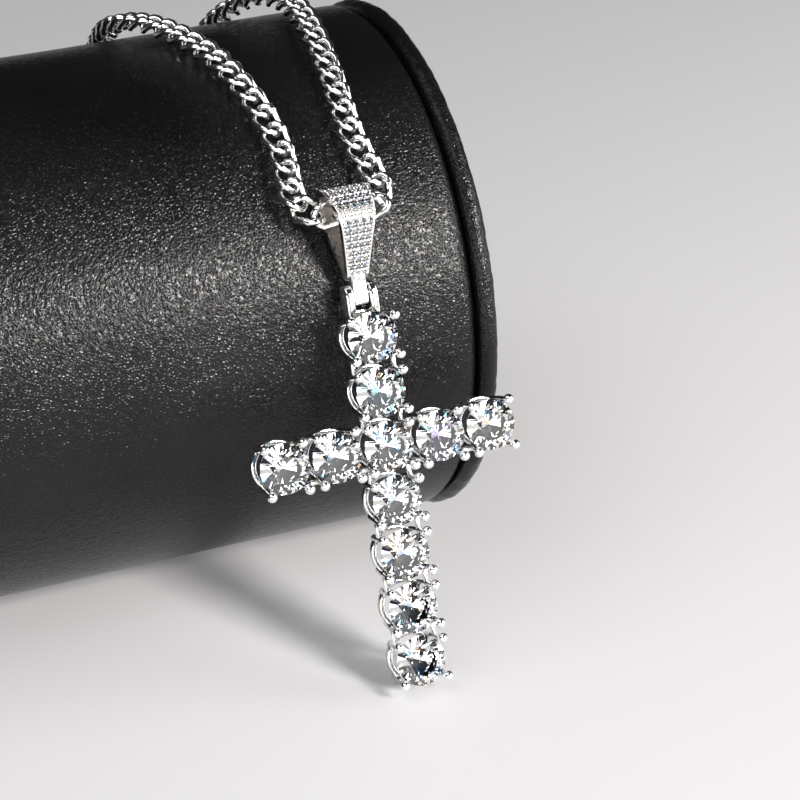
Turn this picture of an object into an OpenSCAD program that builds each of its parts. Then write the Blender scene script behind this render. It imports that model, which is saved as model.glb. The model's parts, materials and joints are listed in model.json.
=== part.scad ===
// A cross pendant on a curb chain, laid over a leather display roll.
// The roll stands on its flat, the foot of the cross stands in front of it, and the
// loop of the chain runs over the roll and lies on the ground behind it.
// Millimetres, +Z up. The origin is the middle of the flat under the roll.

/* [Stones] */
// Diameter of each large round stone at its girdle
stone_d = 5.9; // [4:0.1:8]
// Diameter of the flat table on top of each stone
table_d = 3.3; // [2:0.1:3.9]
// Height from the girdle up to the table
crown_h = 0.95; // [0.6:0.05:1.5]
// Height of the girdle band
girdle_h = 0.14; // [0.05:0.01:0.3]
// Depth from the girdle down to the point
pavilion_h = 2.45; // [1.8:0.05:2.7]

/* [Cross frame] */
// Space between the girdles of neighbouring stones
stone_space = 0.35; // [0.2:0.05:1]
// Space between a stone and the metal that seats it
seat_gap = 0.07; // [0.05:0.01:0.15]
// Thickness of a prong
prong_d = 0.92; // [0.6:0.02:1.1]
// Diameter of the ball on the tip of a prong
ball_d = 1.2; // [0.8:0.02:1.4]
// Height of the ball's centre above the girdle
ball_rise = 0.96; // [0.7:0.02:1.4]
// How far the ball's centre lies outside the girdle
ball_out = 0.52; // [0.45:0.01:0.7]
// Angle of the prongs from the line across the arm
prong_angle = 40; // [36:1:46]
// How far the gallery ring under each stone lies inside the stone's edge
gallery_in = 0; // [0:0.05:0.4]
// Wall of the gallery ring
gallery_wall = 0.6; // [0.4:0.05:1]
// Height of the gallery ring
gallery_h = 0.8; // [0.5:0.05:1.2]
// Depth of the gallery's underside below the girdle
gallery_drop = 3.7; // [3.2:0.1:5]
// Thickness of the bars that join neighbouring settings
bar_d = 0.6; // [0.4:0.05:0.8]
// Depth of the upper bars below the girdle
bar_drop = 1.2; // [0.8:0.1:1.8]

/* [Hinge] */
// Height of the pin above the top setting's gallery ring
pin_rise = 1.85; // [1.6:0.05:3]
// How far the pin lies in front of the gallery's underside
pin_lift = 1.1; // [0.9:0.05:1.4]
// Diameter of the pin
pin_d = 0.8; // [0.6:0.05:1]
// Radial space of the pin in the tab
pin_gap = 0.06; // [0.03:0.01:0.1]
// Radial space of the pin in the ears
pin_seat = 0.02; // [0.01:0.01:0.05]
// Width of the tab between the ears
tab_w = 1.5; // [1.2:0.1:2]
// How far the tab reaches below the pin
tab_reach = 1.2; // [1:0.05:1.3]
// Rounding of the tab's lower edges
tab_round = 0.35; // [0.2:0.05:0.6]
// Space between the tab and each ear
ear_gap = 0.2; // [0.15:0.05:0.4]
// Thickness of each ear
ear_w = 0.95; // [0.7:0.05:1.2]
// Radius of the round end of each ear
ear_r = 1.25; // [1:0.05:1.4]

/* [Bail] */
// Height of the centre of the bail's head above the pin
head_rise = 8.7; // [8:0.1:10]
// Outer radius of the bail's head, seen from the side
head_r = 3.4; // [3.2:0.1:4]
// Height of the centre of the bail's foot above the pin
foot_rise = 2.55; // [2.4:0.05:3]
// Outer radius of the bail's foot, seen from the side
foot_r = 0.9; // [0.8:0.05:1]
// Wall of the bail
bail_wall = 0.7; // [0.6:0.05:0.9]
// Radius at the bottom of the bail's opening
bail_slot_r = 0.4; // [0.3:0.05:0.5]
// Width of the bail at its head
head_w = 5.4; // [5:0.1:7]
// Width of the bail at its foot
foot_w = 2.5; // [2:0.1:3]
// Radius of the curve that narrows the bail's sides
flare_r = 100; // [40:1:160]

/* [Small stones] */
// Diameter of the largest small stones
pave_d = 0.76; // [0.6:0.02:0.8]
// Space between a small stone and the hole that it sits in
pave_gap = 0.05; // [0.03:0.01:0.08]
// Metal left between neighbouring holes in a row
pave_web = 0.1; // [0.06:0.01:0.3]
// Metal left along the bail's edges
pave_edge = 0.25; // [0.15:0.05:0.5]
// Depth of the holes
pave_depth = 0.45; // [0.4:0.01:0.55]
// Depth of each hole's straight upper part
pave_wall = 0.12; // [0.08:0.01:0.2]
// Width of a hole's floor as a share of its mouth
pave_floor = 0.5; // [0.4:0.05:0.6]

/* [Chain] */
// Width of the chain
chain_w = 3.2; // [2.6:0.1:3.4]
// Thickness of the chain
chain_t = 1.8; // [1.4:0.1:2]
// Space between the chain and the leather
chain_gap = 0.25; // [0.2:0.05:0.5]
// Height of the chain above the centre of the bail's head
chain_rise = 0.6; // [0.2:0.1:0.7]
// How far the chain lies behind the centre of the bail's head
chain_back = 0.2; // [0:0.1:0.4]
// Radius of the bend where the chain reaches the ground
ground_bend_r = 6; // [4:0.5:10]
// Width of the clasp
clasp_w = 3.6; // [2.4:0.1:5]
// Thickness of the clasp
clasp_t = 2; // [1.6:0.1:3]
// Space between the clasp and the chain's ends
clasp_gap = 0.15; // [0.1:0.05:0.3]

/* [Display roll] */
// Diameter of the roll
roll_d = 63; // [60:1:70]
// Length of the roll with both end caps
roll_l = 120; // [110:1:160]
// Depth of the flat that the roll stands on
flat_depth = 0.4; // [0.2:0.1:2]
// Thickness of each end cap
cap_l = 2.4; // [2:0.1:4]
// How far the cap's rim stands out from the roll
cap_lip = 0.4; // [0.2:0.1:1]
// Rounding of the cap's rim
cap_round = 1; // [0.6:0.1:1.1]
// Rounding of the roll's ends beside the caps
roll_round = 1.6; // [1:0.1:3]
// Space between a cap and the roll
cap_gap = 0.1; // [0.05:0.05:0.3]
// Distance from the roll's right end to the middle of the cross
cross_inset = 17.6; // [15:0.1:25]

/* [Rest] */
// How far the cross leans back from upright
lean = 20; // [15:0.5:25]
// Space between the bail and the leather
bail_rest = 0.25; // [0.2:0.05:0.5]
// Least space between the back of the cross and the roll's end caps
back_rest = 0.5; // [0.3:0.1:1]
// Space between the foot of the cross and the ground
foot_rest = 0.1; // [0.05:0.05:0.3]

/* [Hidden] */
// The large stones: name, steps across from the centre stone, and steps up from it
settings = [
  ["stone_centre", 0, 0],
  ["stone_top_1", 0, 1], ["stone_top_2", 0, 2],
  ["stone_left_1", -1, 0], ["stone_left_2", -2, 0],
  ["stone_right_1", 1, 0], ["stone_right_2", 2, 0],
  ["stone_foot_1", 0, -1], ["stone_foot_2", 0, -2],
  ["stone_foot_3", 0, -3], ["stone_foot_4", 0, -4]
];
top_steps = 2;
side_steps = 2;
foot_steps = 4;

// Smoothness of round shapes
$fn = 48;
// How far a cut runs past a face
cut = 0.5;

// Facets: mains round the crown, and twice as many halves along the girdle
mains = 8;
halves = 2 * mains;
// How far out and how high a kite's side corners lie, as shares of the crown
star_out = 0.42;
star_up = 0.56;
// How far down the lower halves reach, as a share of the pavilion
lower_share = 0.78;

stone_r = stone_d / 2;
table_r = table_d / 2;
pitch = stone_d + stone_space;
gallery_r = stone_r - gallery_in;
ball_ring_r = stone_r + ball_out;
prong_foot_z = gallery_h / 2 - gallery_drop;
centre_prong_angle = 45;

tab_half = tab_w / 2;
ear_in = tab_half + ear_gap;
ear_out = ear_in + ear_w;
top_v = top_steps * pitch;
pin_v = top_v + gallery_r + pin_rise;
pin_drop = gallery_drop - pin_lift;
// The ears stand on the top setting's gallery ring, in the middle of its wall
ear_foot_v = top_v + sqrt(pow(gallery_r - gallery_wall / 2, 2) - pow(ear_out, 2));

// The bail, seen from the side: a round head and a round foot with straight sides
head_to_foot = head_rise - foot_rise;
taper = asin((head_r - foot_r) / head_to_foot);
slot_r = head_r - bail_wall;
slot_to_head = (slot_r - bail_slot_r) / sin(taper);
// and from the front: sides that curve in from the head's width to the foot's
bail_top = [head_w / 2, head_rise + head_r];
bail_bottom = [foot_w / 2, foot_rise - foot_r];
bail_side = bail_top - bail_bottom;
flare_reach = sqrt(flare_r * flare_r - bail_side * bail_side / 4);
flare_centre =
  (bail_top + bail_bottom) / 2 + [bail_side[1], -bail_side[0]] * flare_reach / norm(bail_side);

// The cross stands with its lowest edge just above the ground
cross_z = foot_rest + (foot_steps * pitch + gallery_r) * cos(lean) + gallery_drop * sin(lean);
roll_r = roll_d / 2;
roll_axis_z = roll_r - flat_depth;
cross_x = roll_l / 2 - cross_inset;
// and far enough forward for the head of its bail to rest on the roll, and for its own
// back to clear the roll
head_v = pin_v + head_rise;
head_z = cross_z + head_v * cos(lean) - pin_drop * sin(lean);
head_from_roll = sqrt(pow(roll_r + bail_rest + head_r, 2) - pow(head_z - roll_axis_z, 2));
head_back = head_v * sin(lean) + pin_drop * cos(lean);
back_from_roll =
  (roll_r + cap_lip + back_rest + gallery_drop + (roll_axis_z - cross_z) * sin(lean)) / cos(lean);
cross_y = -max(head_from_roll + head_back, back_from_roll);
head_y = cross_y + head_back;

// The chain follows a sheet that runs over the roll, down behind it and along the
// ground. Along it is measured from the bail, across it from the middle of the cross.
// Columns: across, along, and the share of the bail's height that the chain keeps.
chain_route = [
  [-19.5, 226.5, 0], [-33, 221.5, 0], [-44, 210, 0], [-50, 194, 0], [-50, 174, 0],
  [-46, 154, 0], [-40, 134, 0], [-36, 119, 0], [-35, 113, 0], [-34, 109, 0],
  [-32.4, 105, 0], [-28.6, 97, 0], [-23, 86, 0], [-15.4, 70, 0], [-12.8, 60, 0],
  [-12.6, 54, 0], [-13, 48, 0.2], [-12.6, 42, 0.3], [-10.6, 36, 0.2], [-8.5, 30, 0],
  [-6.9, 24, 0],
  [-5.7, 18, 0], [-4.7, 13, 0], [-4.4, 9, 0], [-4.8, 6, 0.2], [-5.3, 3, 0.5],
  [-4.7, 0.8, 0.85], [-3.2, 0, 1], [-1.6, 0, 1], [0, 0, 1], [1.6, 0, 1],
  [3.2, 0, 1], [4.6, 0.8, 0.85], [5.1, 3, 0.45], [4.6, 6, 0.15], [4.2, 9, 0],
  [4.3, 13, 0], [4.8, 18, 0], [5.4, 24, 0], [6.2, 30, 0.1], [6.6, 36, 0.3],
  [5, 42, 0.5], [3, 48, 0.3], [1.5, 57, 0], [1.5, 70, 0], [3, 86, 0], [4.6, 97, 0],
  [5.8, 105, 0], [6.6, 109, 0], [7.5, 113, 0], [9, 119, 0], [14, 134, 0],
  [19, 154, 0], [22, 174, 0], [20.5, 194, 0], [13, 210, 0], [1, 221.5, 0],
  [-12, 226.5, 0]
];
// Greatest step from one ring of the chain's outline to the next
ring_step = 10.5;
tube_sides = 10;

// The bail hangs here, in the plane across the roll
hang_y = head_y + chain_rise * sin(lean) + chain_back * cos(lean);
hang_z = head_z + chain_rise * cos(lean) - chain_back * sin(lean);
hang_angle = atan2(hang_z - roll_axis_z, hang_y);
chain_lie_r = roll_r + chain_gap + chain_t / 2;
hang_lift = norm([hang_y, hang_z - roll_axis_z]) - chain_lie_r;
ground_z = chain_t / 2;
over_l = chain_lie_r * hang_angle * PI / 180;
down_l = roll_axis_z - ground_z - ground_bend_r;
bend_l = ground_bend_r * PI / 2;

// Places

// The cross's own frame: X across, Z up the cross, -Y out of its face
module on_cross() {
  translate([cross_x, cross_y, cross_z]) rotate([-lean, 0, 0]) children();
}

// A setting's frame: X across the arm, Y along it, Z out of its face
module on_setting(across, up) {
  translate([across * pitch, 0, up * pitch])
    rotate([90, 0, 0])
      rotate([0, 0, across == 0 ? 0 : 90])
        children();
}

// A shape drawn from the side, with its first axis forward and its second up
module side_slab(width) {
  rotate([90, 0, -90]) linear_extrude(width, center = true) children();
}

// A straight round rod between two points
module rod(from, to, d) {
  step = to - from;
  length = norm(step);
  translate(from)
    rotate([0, acos(step[2] / length), atan2(step[1], step[0])])
      cylinder(h = length, d = d);
}

// Stones

function ring(count, r, z, turn) = [
  for (i = [0:count - 1]) [r * cos(360 * i / count + turn), r * sin(360 * i / count + turn), z]
];

// A round brilliant: table, stars, kites, halves, girdle, lower halves and lower mains
module brilliant() {
  half_turn = 180 / mains;
  top = girdle_h / 2;
  star_r = table_r + (stone_r - table_r) * star_out;
  star_z = top + crown_h * star_up;
  lower_r = stone_r * (1 - lower_share);
  lower_z = -top - pavilion_h * lower_share;
  points = concat(
    ring(mains, table_r, top + crown_h, 0),
    ring(mains, star_r, star_z, half_turn),
    ring(halves, stone_r, top, 0),
    ring(halves, stone_r, -top, 0),
    ring(mains, lower_r, lower_z, half_turn),
    [[0, 0, -top - pavilion_h]]
  );
  star = mains;
  upper = 2 * mains;
  under = upper + halves;
  low = under + halves;
  tip = low + mains;
  faces = concat(
    [[for (i = [mains - 1:-1:0]) i]],
    [for (i = [0:mains - 1]) [i, (i + 1) % mains, star + i]],
    [for (i = [0:mains - 1]) [i, star + i, upper + 2 * i]],
    [for (i = [0:mains - 1]) [i, upper + 2 * i, star + (i + mains - 1) % mains]],
    [for (i = [0:mains - 1]) [star + i, upper + 2 * i + 1, upper + 2 * i]],
    [for (i = [0:mains - 1]) [star + i, upper + (2 * i + 2) % halves, upper + 2 * i + 1]],
    [for (i = [0:halves - 1]) [
      upper + i, upper + (i + 1) % halves, under + (i + 1) % halves, under + i]],
    [for (i = [0:mains - 1]) [under + 2 * i, under + 2 * i + 1, low + i]],
    [for (i = [0:mains - 1]) [under + 2 * i + 1, under + (2 * i + 2) % halves, low + i]],
    [for (i = [0:mains - 1]) [under + 2 * i, low + i, tip]],
    [for (i = [0:mains - 1]) [under + 2 * i, tip, low + (i + mains - 1) % mains]]
  );
  polyhedron(points, faces);
}

module stone(across, up) {
  color("aliceblue") on_cross() on_setting(across, up) brilliant();
}

// The room that a stone needs in its setting
module stone_seat() {
  r = stone_r + seat_gap;
  edge = girdle_h / 2 + seat_gap;
  rotate_extrude()
    polygon([
      [0, -edge - pavilion_h - seat_gap],
      [r, -edge],
      [r, edge],
      [table_r + seat_gap, edge + crown_h],
      [0, edge + crown_h]
    ]);
}

// Settings

function prong_foot(angle) = [
  gallery_r * cos(angle), gallery_r * sin(angle), prong_foot_z
];
function prong_tip(angle) = [ball_ring_r * cos(angle), ball_ring_r * sin(angle), ball_rise];
// The point of a prong at a depth below the girdle
function prong_at(angle, depth) =
  let (share = (-depth - prong_foot_z) / (ball_rise - prong_foot_z))
  prong_foot(angle) * (1 - share) + prong_tip(angle) * share;

module prong(angle) {
  rod(prong_foot(angle), prong_tip(angle), prong_d);
  translate(prong_tip(angle)) sphere(d = ball_d);
}

module gallery() {
  translate([0, 0, -gallery_drop])
    difference() {
      cylinder(h = gallery_h, r = gallery_r);
      translate([0, 0, -cut]) cylinder(h = gallery_h + 2 * cut, r = gallery_r - gallery_wall);
    }
}

module setting(angle) {
  difference() {
    union() {
      gallery();
      for (turn = [angle, 180 - angle, 180 + angle, -angle]) prong(turn);
    }
    stone_seat();
  }
}

// The bars from one setting to the next one along its arm
module joining_bars(angle) {
  near = prong_at(angle, bar_drop);
  far = prong_at(prong_angle, bar_drop);
  for (side = [-1, 1])
    rod([side * near[0], near[1], -bar_drop], [side * far[0], pitch - far[1], -bar_drop], bar_d);
  rim = gallery_r - gallery_wall / 2;
  rod([0, rim, prong_foot_z], [0, pitch - rim, prong_foot_z], bar_d);
}

module cross_arm(steps) {
  joining_bars(centre_prong_angle);
  for (i = [1:1:steps - 1]) translate([0, i * pitch, 0]) joining_bars(prong_angle);
}

// Hinge

module ear_shape() {
  difference() {
    union() {
      translate([-pin_drop, pin_v]) circle(r = ear_r);
      translate([-pin_drop - ear_r, ear_foot_v]) square([2 * ear_r, pin_v - ear_foot_v]);
    }
    translate([-pin_drop, pin_v]) circle(d = pin_d + 2 * pin_seat);
  }
}

module ears() {
  for (side = [-1, 1]) translate([side * (ear_in + ear_w / 2), 0, 0]) side_slab(ear_w) ear_shape();
}

module cross_frame() {
  color("silver") on_cross() {
    for (s = settings)
      on_setting(s[1], s[2]) setting(s[1] == 0 && s[2] == 0 ? centre_prong_angle : prong_angle);
    rotate([90, 0, 0]) {
      cross_arm(top_steps);
      rotate([0, 0, 90]) cross_arm(side_steps);
      rotate([0, 0, 180]) cross_arm(foot_steps);
      rotate([0, 0, -90]) cross_arm(side_steps);
    }
    ears();
  }
}

module hinge_pin() {
  color("gainsboro") on_cross() translate([-ear_out, pin_drop, pin_v])
    rotate([0, 90, 0]) cylinder(h = 2 * ear_out, d = pin_d);
}

// Bail

// Two circles, one above the other, with straight sides that start just inside them
module drop_shape(upper_r, upper_v, lower_r, lower_v) {
  inside = 0.01;
  wide = upper_r - inside;
  narrow = lower_r - inside;
  translate([0, upper_v]) circle(r = upper_r);
  translate([0, lower_v]) circle(r = lower_r);
  polygon([
    [wide * cos(taper), upper_v - wide * sin(taper)],
    [narrow * cos(taper), lower_v - narrow * sin(taper)],
    [-narrow * cos(taper), lower_v - narrow * sin(taper)],
    [-wide * cos(taper), upper_v - wide * sin(taper)]
  ]);
}

// The tab from the side: as thick as the bail's foot, with rounded lower edges
module tab_shape() {
  translate([-foot_r, tab_round - tab_reach]) square([2 * foot_r, foot_rise + tab_reach - tab_round]);
  translate([tab_round - foot_r, -tab_reach]) square([2 * (foot_r - tab_round), 2 * tab_round]);
  for (side = [-1, 1])
    translate([side * (foot_r - tab_round), tab_round - tab_reach]) circle(r = tab_round);
}

// The bail from the front: both sides curve in towards the foot
module bail_front() {
  difference() {
    translate([-head_w / 2, bail_bottom[1] - cut]) square([head_w, bail_side[1] + 2 * cut]);
    for (hand = [-1, 1])
      translate([hand * flare_centre[0], flare_centre[1]]) circle(r = flare_r, $fn = 360);
  }
}

// Half of the bail's width at a height above the pin
function bail_half(v) = flare_centre[0] - sqrt(pow(flare_r, 2) - pow(v - flare_centre[1], 2));

// The bail's frame: on the cross, with the pin at its origin
module on_pin() {
  on_cross() translate([0, pin_drop, pin_v]) children();
}

module bail() {
  color("silver") on_pin() difference() {
    union() {
      intersection() {
        side_slab(2 * head_w) difference() {
          drop_shape(head_r, head_rise, foot_r, foot_rise);
          drop_shape(slot_r, head_rise, bail_slot_r, head_rise - slot_to_head);
        }
        rotate([90, 0, 0]) linear_extrude(4 * head_r, center = true) bail_front();
      }
      side_slab(tab_w) tab_shape();
    }
    rotate([0, 90, 0]) cylinder(h = 2 * head_w, d = pin_d + 2 * pin_gap, center = true);
    for (s = small_stones) on_front(s[0], s[1]) pave_hole(s[2]);
  }
}

// Small stones

// Diameter of the largest holes, and their step from one to the next
pave_hole_d = pave_d + 2 * pave_gap;
pave_step = pave_hole_d + pave_web;
side_l = head_to_foot * cos(taper);
// The rows run from the bail's foot over its head, to this angle from the front
last_row_angle = 104;
front_l = side_l + head_r * (last_row_angle + taper) * PI / 180;

// A point of the bail's front edge, seen from the side, at a distance up from the foot:
// forward, up, and the angle of the surface there
function front_point(d) =
  d < side_l
  ? let (share = d / side_l)
    [
      (foot_r + (head_r - foot_r) * share) * cos(taper),
      (foot_rise - foot_r * sin(taper)) * (1 - share) + (head_rise - head_r * sin(taper)) * share,
      -taper
    ]
  : let (angle = (d - side_l) / head_r * 180 / PI - taper)
    [head_r * cos(angle), head_rise + head_r * sin(angle), angle];

// A row that fills the bail's width: how far it lies up from the foot, the count of its
// stones and the diameter of its holes
function row_at(d) =
  let (
    room = 2 * (bail_half(front_point(d)[1]) - pave_edge) + pave_web,
    count = ceil(room / pave_step)
  )
  [d, count, room / count - pave_web];

// All the rows from a distance up from the foot
function rows_from(d) =
  let (row = row_at(d + pave_hole_d / 2))
  d + pave_step > front_l ? [] : concat([row], rows_from(row[0] + row[2] / 2 + pave_web));

// Each small stone: how far across and up it lies, and the diameter of its hole
small_stones = [
  for (row = rows_from(0))
    for (i = [0:row[1] - 1])
      [(i - (row[1] - 1) / 2) * (row[2] + pave_web), row[0], row[2]]
];

// Sets a child on the bail's front, with Z out of it
module on_front(across, d) {
  p = front_point(d);
  translate([across, -p[0], p[1]]) rotate([90 - p[2], 0, 0]) children();
}

// A hole narrows below its straight part, so that its neighbours stay clear where the bail bends
module pave_hole(d) {
  r = d / 2;
  rotate_extrude($fn = 24) polygon([
    [0, -pave_depth],
    [r * pave_floor, -pave_depth],
    [r, -pave_wall],
    [r, cut],
    [0, cut]
  ]);
}

// A small stone with eight facets round its table
module small_stone(d) {
  sides = 8;
  r = d / 2;
  table_share = 0.6;
  table_z = 0.1;
  girdle_z = -0.06;
  tip_z = (pave_gap - pave_depth) * d / pave_d;
  points = concat(
    ring(sides, r * table_share, table_z, 0),
    ring(sides, r, girdle_z, 180 / sides),
    [[0, 0, tip_z]]
  );
  tip = 2 * sides;
  faces = concat(
    [[for (i = [sides - 1:-1:0]) i]],
    [for (i = [0:sides - 1]) [i, (i + 1) % sides, sides + i]],
    [for (i = [0:sides - 1]) [(i + 1) % sides, sides + (i + 1) % sides, sides + i]],
    [for (i = [0:sides - 1]) [sides + i, sides + (i + 1) % sides, tip]]
  );
  polyhedron(points, faces);
}

module pave_stones() {
  color("white") on_pin()
    for (s = small_stones) on_front(s[0], s[1]) small_stone(s[2] - 2 * pave_gap);
}

// Chain

// A point of the sheet and its outward direction, both in the plane across the roll
function sheet(along) =
  along < over_l
  ? let (angle = hang_angle - along / chain_lie_r * 180 / PI)
    [[chain_lie_r * cos(angle), roll_axis_z + chain_lie_r * sin(angle)], [cos(angle), sin(angle)]]
  : along < over_l + down_l
  ? [[chain_lie_r, roll_axis_z - (along - over_l)], [1, 0]]
  : along < over_l + down_l + bend_l
  ? let (
      angle = (along - over_l - down_l) / ground_bend_r * 180 / PI,
      out = [cos(angle), sin(angle)]
    )
    [[chain_lie_r, ground_z] + ground_bend_r * ([1, 1] - out), out]
  : [[chain_lie_r + ground_bend_r + along - over_l - down_l - bend_l, ground_z], [0, 1]];

// A smooth curve that follows four neighbouring points of the route
function smooth(a, b, c, d, t) = (
  a * pow(1 - t, 3)
  + b * (3 * pow(t, 3) - 6 * pow(t, 2) + 4)
  + c * (-3 * pow(t, 3) + 3 * pow(t, 2) + 3 * t + 1)
  + d * pow(t, 3)
) / 6;

route_last = len(chain_route) - 1;
// The route with one more point past each end, so that the curve starts and ends on it
long_route = concat(
  [2 * chain_route[0] - chain_route[1]],
  chain_route,
  [2 * chain_route[route_last] - chain_route[route_last - 1]]
);
flat_line = concat(
  [
    for (i = [0:route_last - 1])
      let (
        step = chain_route[i + 1] - chain_route[i],
        parts = ceil(norm([step[0], step[1]]) / ring_step)
      )
      for (j = [0:parts - 1])
        smooth(long_route[i], long_route[i + 1], long_route[i + 2], long_route[i + 3], j / parts)
  ],
  [chain_route[route_last]]
);
// The chain's middle line, and its outward direction at each point
chain_line = [
  for (p = flat_line)
    let (s = sheet(p[1]), q = s[0] + s[1] * p[2] * hang_lift)
    [cross_x + p[0], q[0], q[1]]
];
chain_out = [for (p = flat_line) let (s = sheet(p[1])) [0, s[1][0], s[1][1]]];
line_last = len(chain_line) - 1;

function unit(v) = v / norm(v);

// An oval ring of the tube, wide along the sheet and thin across it
function tube_ring(i) =
  let (
    ahead = unit(chain_line[min(i + 1, line_last)] - chain_line[max(i - 1, 0)]),
    wide = unit(cross(chain_out[i], ahead)),
    thin = cross(ahead, wide)
  )
  [
    for (k = [0:tube_sides - 1])
      let (a = 360 * k / tube_sides)
      chain_line[i] + wide * cos(a) * chain_w / 2 + thin * sin(a) * chain_t / 2
  ];

module chain() {
  points = [for (i = [0:line_last]) each tube_ring(i)];
  faces = concat(
    [[for (k = [0:tube_sides - 1]) k]],
    [
      for (i = [0:line_last - 1])
        for (k = [0:tube_sides - 1])
          let (
            a = i * tube_sides + k,
            b = i * tube_sides + (k + 1) % tube_sides
          )
          [a, a + tube_sides, b + tube_sides, b]
    ],
    [[for (k = [tube_sides - 1:-1:0]) line_last * tube_sides + k]]
  );
  color("silver") polyhedron(points, faces);
}

// One plain piece between the chain's two ends
module chain_clasp() {
  ends = (chain_line[0] + chain_line[line_last]) / 2;
  length = norm(chain_line[0] - chain_line[line_last]) - 2 * clasp_gap;
  color("silver") translate([ends[0], ends[1], 0]) {
    linear_extrude(clasp_t) {
      square([length - clasp_w, clasp_w], center = true);
      for (side = [-1, 1]) translate([side * (length - clasp_w) / 2, 0]) circle(d = clasp_w);
    }
  }
}

// Display roll

module above_ground() {
  difference() {
    children();
    translate([-roll_l, -roll_l, -2 * roll_l]) cube(2 * roll_l);
  }
}

module display_roll() {
  half = roll_l / 2 - cap_l - cap_gap;
  core_r = roll_r - roll_round;
  color("#161616") above_ground()
    translate([0, 0, roll_axis_z]) rotate([0, 90, 0]) rotate_extrude($fn = 96) {
      translate([0, -half]) square([core_r, 2 * half]);
      translate([0, -half + roll_round]) square([roll_r, 2 * (half - roll_round)]);
      for (end = [-1, 1]) translate([core_r, end * (half - roll_round)]) circle(r = roll_round);
    }
}

module roll_cap(side) {
  r = roll_r + cap_lip;
  color("#1c1c1c") above_ground()
    translate([side * (roll_l - cap_l) / 2, 0, roll_axis_z])
      rotate([0, 90, 0]) rotate_extrude($fn = 96) {
        translate([0, -cap_l / 2]) square([r - cap_round, cap_l]);
        translate([0, cap_round - cap_l / 2]) square([r, cap_l - 2 * cap_round]);
        for (end = [-1, 1])
          translate([r - cap_round, end * (cap_l / 2 - cap_round)]) circle(r = cap_round);
      }
}

display_roll();
roll_cap(-1);  // roll_cap_left
roll_cap(1);  // roll_cap_right
chain();
chain_clasp();
bail();
pave_stones();
cross_frame();
hinge_pin();
for (s = settings) stone(s[1], s[2]);
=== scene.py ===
# %% [markdown]
# # A stone-set cross pendant on a curb chain, laid over a display roll
#
# The solid model of this piece comes from a CAD program. It fixes every size and every
# joint, and here it is loaded as a frame that nothing moves. What is left for Blender is
# the look: polished silver, clear cut stones, black leather, and the details that are too
# fine for a solid model, such as the links of the chain.

# %% Load the frame
import json
import math

import bpy
from mathutils import Matrix, Vector, noise


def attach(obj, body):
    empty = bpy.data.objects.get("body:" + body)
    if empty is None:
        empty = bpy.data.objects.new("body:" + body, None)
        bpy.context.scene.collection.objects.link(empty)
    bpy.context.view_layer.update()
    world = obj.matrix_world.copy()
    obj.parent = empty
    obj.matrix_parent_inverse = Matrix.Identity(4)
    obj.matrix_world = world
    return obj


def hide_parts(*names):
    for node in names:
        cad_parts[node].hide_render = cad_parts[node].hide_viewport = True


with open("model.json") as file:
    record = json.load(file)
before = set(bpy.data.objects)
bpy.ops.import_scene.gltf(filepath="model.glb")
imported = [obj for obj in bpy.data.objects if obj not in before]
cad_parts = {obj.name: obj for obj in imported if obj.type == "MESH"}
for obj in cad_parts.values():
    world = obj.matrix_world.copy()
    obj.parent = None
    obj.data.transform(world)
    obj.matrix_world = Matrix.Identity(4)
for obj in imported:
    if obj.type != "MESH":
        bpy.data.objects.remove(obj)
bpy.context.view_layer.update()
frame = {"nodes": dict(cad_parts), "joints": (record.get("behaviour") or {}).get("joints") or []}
MM = 0.001
joint_place = {joint["name"]: Vector(joint["pos_m"]) for joint in frame["joints"]}
print("joints in mm:", {name: [round(x / MM, 2) for x in place] for name, place in joint_place.items()})

# %% [markdown]
# ## The camera
#
# The camera comes first, because every later choice is judged through it. It looks down
# from the front left with a long lens, as a jeweller's product picture is taken: a long
# lens keeps the stones round and the arms of the cross in proportion. Its axes are built
# from three angles, so that each can be read on its own.

# %% Place the camera
eye = Vector((-60.965, -294.047, 180.919)) * MM
turn = math.radians(-22.425)
height = math.radians(28.268)
tilt = math.radians(-0.847)

back = Vector((math.sin(turn) * math.cos(height), -math.cos(turn) * math.cos(height), math.sin(height)))
level = Vector((math.cos(turn), math.sin(turn), 0))
above = back.cross(level)
right = level * math.cos(tilt) + above * math.sin(tilt)
up = above * math.cos(tilt) - level * math.sin(tilt)

bpy.ops.object.select_all(action="DESELECT")
bpy.ops.object.camera_add(location=eye)
camera = bpy.context.object
camera.name = "product_camera"
camera.matrix_world = Matrix.Translation(eye) @ Matrix((right, up, back)).transposed().to_4x4()
camera.data.sensor_width = 36
camera.data.lens = 126
camera.data.clip_start = 0.01
camera.data.clip_end = 10
bpy.context.scene.camera = camera
print("camera is", round(eye.length / MM), "mm from the roll, lens", camera.data.lens, "mm")

# %% [markdown]
# ## The floor and the studio light
#
# Metal and cut stones have hardly any colour of their own: they show what is around them.
# A jewellery photographer therefore uses large soft lights, which draw long clean
# highlights, and leaves dark gaps between them, which draw the shapes. The floor is a
# plain pale sheet. The lights are area lights, each aimed at the cross. The key light is
# small and bright, because a small light draws the bright band along the leather and
# leaves the rest of it dark. The others are weaker, and fill the metal and the stones.

# %% Floor
floor_gap = 0.05 * MM
bpy.ops.mesh.primitive_plane_add(size=6, location=(0, 0, -floor_gap))
floor = bpy.context.object
floor.name = "pale_floor"
floor_paint = bpy.data.materials.new("pale_floor_paint")
floor_paint.use_nodes = True
floor_shader = floor_paint.node_tree.nodes["Principled BSDF"]
floor_shader.inputs["Base Color"].default_value = (0.53, 0.53, 0.54, 1)
floor_shader.inputs["Roughness"].default_value = 0.6
floor.data.materials.append(floor_paint)

# %% Lights
cross_middle = Vector((42, -42, 30)) * MM


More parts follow.
